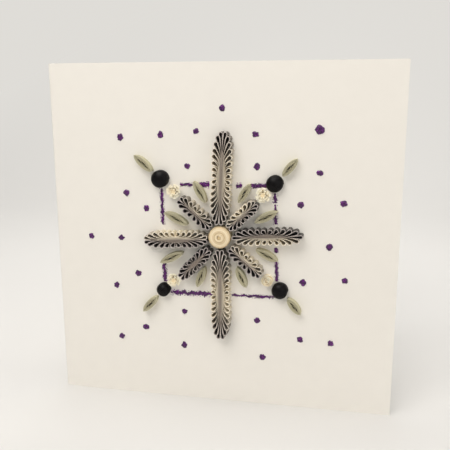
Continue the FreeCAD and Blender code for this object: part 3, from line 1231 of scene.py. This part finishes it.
class Flakes:
    """Small six-sided plates of glitter."""

    sides = 6
    smallest = 0.11
    spread = 0.09
    thickness = 0.03
    tilt = 38.0

    def __init__(self, seed: int) -> None:
        """Start the order of chances from a seed."""
        self.chance = random.Random(seed)

    def plate(self, x: float, z: float, height: float) -> Mesh:
        """Tilt one plate at a place on the glue.

        Args:
            x: its place to the right of the snowflake's middle.
            z: its place above it.
            height: how far off the card it lies.

        Returns:
            The plate's mesh, in the second material.
        """
        bm = bmesh.new()
        bm.verts.layers.float.new("shade")
        radius = (self.smallest + self.spread * self.chance.random()) * MM
        bmesh.ops.create_circle(bm, cap_ends=True, radius=radius, segments=self.sides)
        lifted = bmesh.ops.extrude_face_region(bm, geom=bm.faces[:])["geom"]
        bmesh.ops.translate(bm, verts=[v for v in lifted if isinstance(v, BMVert)],
                            vec=(0.0, 0.0, self.thickness * MM))
        tilt = Matrix.Rotation(math.radians(90 + self.tilt * (self.chance.random() - 0.5)), 3, "X")
        tilt = Matrix.Rotation(math.radians(self.tilt * (self.chance.random() - 0.5)), 3, "Z") @ tilt
        bmesh.ops.rotate(bm, verts=bm.verts[:], matrix=tilt)
        bmesh.ops.translate(bm, verts=bm.verts[:], vec=on_card(x, z, height))
        bmesh.ops.recalc_face_normals(bm, faces=bm.faces[:])
        for face in bm.faces:
            face.material_index = 1
        return into_mesh(bm, "plate", smooth=False)


@dataclass
class GlitterDots:
    """The dots of glue scattered round the snowflake."""

    dots: tuple[tuple[float, float, float], ...]
    height: float = 0.5
    seed: int = 11
    lump: float = 0.38
    lump_rate: float = 1.5
    lump_step: float = 3.7
    rag: float = 0.24
    rag_rate: float = 4.0
    rag_step: float = 1.9
    body_share: float = 0.92
    swell: float = 0.15
    swell_rate: float = 3.0
    lift: float = 0.02
    foot: float = 0.01
    flakes_per_radius: int = 7
    flake_reach: float = 0.9
    flake_height_share: float = 0.8

    def blob(self, x: float, z: float, radius: float, number: int) -> Mesh:
        """Squeeze out one dot: a low lump with a ragged foot.

        Args:
            x: its place to the right of the snowflake's middle.
            z: its place above it.
            radius: its usual radius.
            number: its number, which makes it unlike the others.

        Returns:
            The dot's mesh.
        """
        bm = bmesh.new()
        bm.verts.layers.float.new("shade")
        bmesh.ops.create_icosphere(bm, subdivisions=3, radius=1.0)
        for vertex in bm.verts:
            way = vertex.co.normalized()
            lump = 1 + self.lump * noise.noise(Vector((way.x * self.lump_rate, way.y * self.lump_rate,
                                                       number * self.lump_step)))
            lump += self.rag * noise.noise(Vector((way.x * self.rag_rate, way.y * self.rag_rate,
                                                   number * self.rag_step + way.z)))
            swell = 1 + self.swell * noise.noise(way * self.swell_rate + Vector((number, 0, 0)))
            rise = self.height * self.body_share * way.z * swell
            vertex.co = on_card(x + way.x * radius * lump, z + way.y * radius * lump,
                                min(self.height, rise + self.lift))
        plane = on_card(0.0, 0.0, self.foot)
        bmesh.ops.bisect_plane(bm, geom=bm.faces[:] + bm.edges[:] + bm.verts[:], plane_co=plane,
                               plane_no=(0.0, 1.0, 0.0), clear_outer=True)
        bmesh.ops.holes_fill(bm, edges=[edge for edge in bm.edges if edge.is_boundary])
        bmesh.ops.recalc_face_normals(bm, faces=bm.faces[:])
        return into_mesh(bm, "blob")

    def build(self, palette: Palette) -> None:
        """Squeeze out every dot and sprinkle it with flakes.

        Args:
            palette: the materials.
        """
        sprinkle = Flakes(self.seed)
        parts = []
        for number, (x, z, radius) in enumerate(self.dots):
            parts.append(self.blob(x, z, radius, number))
            for _ in range(int(self.flakes_per_radius * radius)):
                angle = sprinkle.chance.random() * 2 * math.pi
                dx, dz = polar(radius * self.flake_reach * sprinkle.chance.random() ** 0.5, angle)
                parts.append(sprinkle.plate(x + dx, z + dz, self.height * self.flake_height_share))
        finish_piece("glitter_dots_glue", joined(parts), palette.pick("glitter_glue", "glitter_flake"),
                     Stock.GLUE, ["glitter_dots"])


# The snowflake

@dataclass
class Snowflake:
    """Everything glued on the front panel, placed from the snowflake's middle."""

    petals: tuple = (
        ("petal_top", 87.1, 44.5, 39.0, 4.95, 0.5, (0.05, 0.85), (0.05, 0.8)),
        ("petal_right", 3.1, 35.3, 30.0, 4.1, -0.2, (0.9, 0.95), (0.0, 0.5), False),
        ("petal_bottom", -89.7, 45.8, 40.4, 4.9, 0.1, (0.0, 0.85), (0.0, 0.85)),
        ("petal_left", 182.9, 33.6, 28.3, 4.2, 0.8, (0.85, 1.0), (0.0, 0.45)),
        ("petal_upper_left", 139.0, 23.8, 18.3, 3.5, -0.6, (0.95, 1.0), (0.2, 0.8)),
        ("petal_upper_right", 43.5, 21.9, 16.4, 3.5, 0.4, (0.0, 0.5), (0.8, 0.9)),
        ("petal_lower_left", 225.6, 25.8, 18.8, 3.5, 0.6, (0.85, 0.95), (0.95, 1.0)),
        ("petal_lower_right", -41.2, 24.0, 17.8, 3.5, -0.3, (0.05, 0.45), (0.95, 1.0)),
    )
    domes: tuple = (
        ("black_coil_upper_left", -26.6, 24.0, 3.9),
        ("black_coil_upper_right", 22.9, 23.1, 3.7),
        ("black_coil_lower_left", -26.1, -25.6, 3.15),
        ("black_coil_lower_right", 25.7, -23.1, 3.6),
    )
    flowers: tuple = (
        ("flower_upper_left", -20.5, 18.9, 3.35),
        ("flower_upper_right", 18.1, 18.3, 3.4),
        ("flower_lower_left", -21.2, -20.8, 3.25),
    )
    rose: tuple = ("flower_lower_right", 20.3, -18.8, 3.1)
    leaves: tuple = (
        ("outer_leaf_upper_left", (-37.6, 34.2), (-29.7, 27.2)),
        ("outer_leaf_upper_right", (32.2, 33.6), (26.0, 26.4)),
        ("outer_leaf_lower_left", (-35.8, -36.0), (-28.9, -28.8)),
        ("outer_leaf_lower_right", (34.9, -33.1), (29.0, -26.1)),
        ("inner_leaf_top_left", (-11.5, 23.5), (-6.2, 14.4)),
        ("inner_leaf_top_right", (12.8, 22.9), (7.7, 14.7)),
        ("inner_leaf_left_upper", (-24.6, 9.7), (-14.2, 4.5)),
        ("inner_leaf_left_lower", (-27.2, -12.7), (-16.6, -7.9)),
        ("inner_leaf_right_upper", (24.4, 11.4), (14.5, 6.6)),
        ("inner_leaf_right_lower", (24.7, -9.9), (15.2, -5.0)),
        ("inner_leaf_bottom_left", (-10.7, -23.2), (-7.1, -13.9)),
        ("inner_leaf_bottom_right", (11.2, -22.3), (6.9, -13.3)),
    )
    lines: tuple = (
        ("glitter_line_top", (-26.6, 21.6), (22.9, 22.0),
         ((8.4, 14.5, 1.1), (17.0, 21.5, 2.1), (32.9, 35.6, 1.7), (39.5, 46.8, 1.6)), 3),
        ("glitter_line_left", (-26.5, 24.0), (-25.7, -25.6),
         ((4.2, 20.2, 1.3), (28.6, 30.4, 1.2), (36.4, 46.2, 1.5)), 5),
        ("glitter_line_right", (22.8, 23.0), (24.3, -23.1),
         ((4.0, 8.2, 1.5), (8.8, 17.3, 1.3), (27.4, 29.8, 1.3), (33.4, 42.5, 1.3)), 8),
        ("glitter_line_bottom", (-26.1, -27.1), (25.7, -26.5),
         ((2.8, 22.6, 1.8), (30.6, 49.6, 1.1)), 9),
    )
    dots: tuple = (
        (0.5, 53.9, 1.3), (-10.9, 44.4, 1.25), (14.5, 43.4, 1.35), (-14.9, 29.7, 1.25),
        (15.2, 30.1, 1.3), (-26.4, 42.8, 1.35), (-44.6, 41.5, 1.4), (40.7, 45.3, 1.9),
        (41.2, 27.9, 1.3), (33.7, 14.3, 1.35), (51.3, 15.5, 1.4), (46.0, -3.3, 1.4),
        (35.4, -19.2, 1.5), (52.9, -17.6, 1.3),
        (15.8, -37.8, 1.3), (-17.0, -35.8, 1.3), (34.8, -45.3, 1.35), (47.9, -46.0, 1.4),
        (18.3, -54.9, 1.35), (-17.4, -51.9, 1.35), (-35.4, -44.5, 1.4), (-47.2, -49.8, 1.35),
        (-42.5, 17.4, 1.4), (-33.5, 10.8, 1.35), (-59.9, -2.8, 1.2), (-45.6, -3.0, 1.3),
        (-38.2, -19.0, 1.4), (-48.7, -25.2, 1.35),
    )

    def build(self, palette: Palette) -> None:
        """Build each kind of piece in turn.

        Args:
            palette: the materials.
        """
        DomedCoil("centre_coil", 0.0, 0.0, radius=4.9, rim=4.6, rise=0.75, inner=0.8,
                  papers=("cream_wall", "hub_cut_edge"), stock=Stock.CREAM, scallop=0.14,
                  collar=1.7, collar_rise=0.25, floor_depth=0.5).build(palette)
        for petal in self.petals:
            CombPetal(*petal).build(palette)
        for name, x, z, radius in self.domes:
            DomedCoil(name, x, z, radius, rim=1.7, rise=2.55, inner=0.06,
                      papers=("black_wall", "black_cut_edge"), stock=Stock.BLACK).build(palette)
        for flower in self.flowers:
            FringedFlower(*flower).build(palette)
        RolledRose(*self.rose).build(palette)
        for leaf in self.leaves:
            PinchedLeaf(*leaf).build(palette)
        for line in self.lines:
            GlitterLine(*line).build(palette)
        GlitterDots(self.dots).build(palette)


# The studio

@dataclass
class Studio:
    """The backdrop, the lamps and the camera."""

    frame_width: float = 450.0
    focal_length: float = 604.17
    sensor_width: float = 36.0
    place: tuple[float, float, float] = (0.05162, -0.24923, 0.13632)
    heading: float = 0.19579
    pitch_down: float = 0.21118
    roll: float = 0.00254
    floor_colour: Colour = (0.86, 0.855, 0.845)
    distance_colour: Colour = (0.875, 0.865, 0.845)
    fade_start: float = 0.35
    fade_end: float = 1.0
    floor_size: float = 3.0
    bend_start: float = 0.45
    bend_radius: float = 0.5
    lamps: tuple = (
        ("key", (-0.16, -0.40, 0.62), (0.0, 0.0, 0.075), 0.50, 3.3, (1.0, 0.965, 0.92)),
        ("fill", (0.55, -0.55, 0.25), (0.0, 0.0, 0.075), 0.7, 1.45, (1.0, 0.97, 0.94)),
        ("wall", (0.0, 0.10, 0.80), (0.0, 0.95, 0.30), 0.6, 5.0, (1.0, 0.985, 0.965)),
        ("back", (-0.15, 0.55, 0.75), (0.0, 0.05, 0.07), 0.5, 1.0, (1.0, 0.98, 0.95)),
    )
    world_colour: Colour = (0.93, 0.925, 0.915)
    world_level: float = 0.41
    far_share: float = 0.98
    floor_roughness: float = 0.8
    floor_rows: int = 120

    def build(self) -> None:
        """Set up the room round the card."""
        self.backdrop()
        for name, place, aimed_at, size, power, colour in self.lamps:
            lamp = bpy.data.lights.new(name, "AREA")
            lamp.size = size
            lamp.energy = power
            lamp.color = colour
            holder = bpy.data.objects.new(name, lamp)
            turned = (Vector(aimed_at) - Vector(place)).to_track_quat("-Z", "Y")
            holder.matrix_world = Matrix.Translation(place) @ turned.to_matrix().to_4x4()
            bpy.context.scene.collection.objects.link(holder)
        world = bpy.data.worlds.new("room")
        world.use_nodes = True
        world.node_tree.nodes.clear()
        nodes = Nodes(world.node_tree)
        light = nodes.add("Background", {"Color": linear(self.world_colour), "Strength": self.world_level})
        seen = nodes.add("Background", {"Color": linear(self.distance_colour), "Strength": 1.0})
        to_camera = nodes.add("LightPath").outputs["Is Camera Ray"]
        mixed = nodes.add("MixShader", {0: to_camera, 1: light.outputs[0], 2: seen.outputs[0]})
        nodes.add("OutputWorld", {"Surface": mixed.outputs[0]})
        bpy.context.scene.world = world
        self.camera()
        bpy.context.scene.view_settings.view_transform = "Standard"

    def backdrop(self) -> None:
        """Lay a plain pale sheet under the card that bends up behind it."""
        bm = bmesh.new()
        bmesh.ops.create_grid(bm, x_segments=2, y_segments=self.floor_rows, size=self.floor_size)
        for vertex in bm.verts:
            past = vertex.co.y - self.bend_start
            if past > 0.0:
                turn = min(past / self.bend_radius, math.pi / 2)
                up = past - turn * self.bend_radius
                vertex.co.y = self.bend_start + self.bend_radius * math.sin(turn)
                vertex.co.z = self.bend_radius * (1 - math.cos(turn)) + up
        mesh = into_mesh(bm, "backdrop")
        material, nodes, shader = new_material("pale_floor")
        place = nodes.add("TexCoord").outputs["Object"]
        cloud = nodes.add("TexNoise", {"Vector": place, "Scale": 6.0, "Detail": 3.0})
        near = linear(self.floor_colour)
        far = linear(tuple(level * self.far_share for level in self.floor_colour))
        nodes.tree.links.new(nodes.mix(cloud.outputs["Fac"], near, far), shader.inputs["Base Color"])
        shader.inputs["Roughness"].default_value = self.floor_roughness
        away = nodes.add("VectorMath", {0: place}, operation="LENGTH")
        faded = nodes.add("MapRange", {"Value": away.outputs["Value"], "From Min": self.fade_start,
                                       "From Max": self.fade_end})
        to_camera = nodes.add("LightPath").outputs["Is Camera Ray"]
        share = nodes.add("Math", {0: faded.outputs[0], 1: to_camera}, operation="MULTIPLY")
        distance = nodes.add("Emission", {"Color": linear(self.distance_colour), "Strength": 1.0})
        mixed = nodes.add("MixShader", {0: share.outputs[0], 1: shader.outputs[0], 2: distance.outputs[0]})
        nodes.add("OutputMaterial", {"Surface": mixed.outputs[0]}, is_active_output=True)
        mesh.materials.append(material)
        floor = bpy.data.objects.new("backdrop", mesh)
        bpy.context.scene.collection.objects.link(floor)

    def camera(self) -> None:
        """Put the camera where the photograph was taken from."""
        lens = bpy.data.cameras.new("camera")
        lens.sensor_width = self.sensor_width
        lens.lens = self.focal_length / self.frame_width * self.sensor_width
        lens.clip_start = 0.01
        lens.dof.use_dof = False
        view = Matrix.Rotation(self.heading, 4, "Z")
        view = view @ Matrix.Rotation(math.pi / 2 - self.pitch_down, 4, "X")
        view = view @ Matrix.Rotation(-self.roll, 4, "Z")
        camera = bpy.data.objects.new("camera", lens)
        camera.matrix_world = Matrix.Translation(self.place) @ view
        bpy.context.scene.collection.objects.link(camera)
        bpy.context.scene.camera = camera


def main() -> None:
    """Build the card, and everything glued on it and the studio."""
    logging.basicConfig(level=logging.INFO, format="%(message)s")
    palette = Palette()
    FoldedCard().build(palette)
    Snowflake().build(palette)
    Studio().build()


if __name__ == "__main__":
    main()
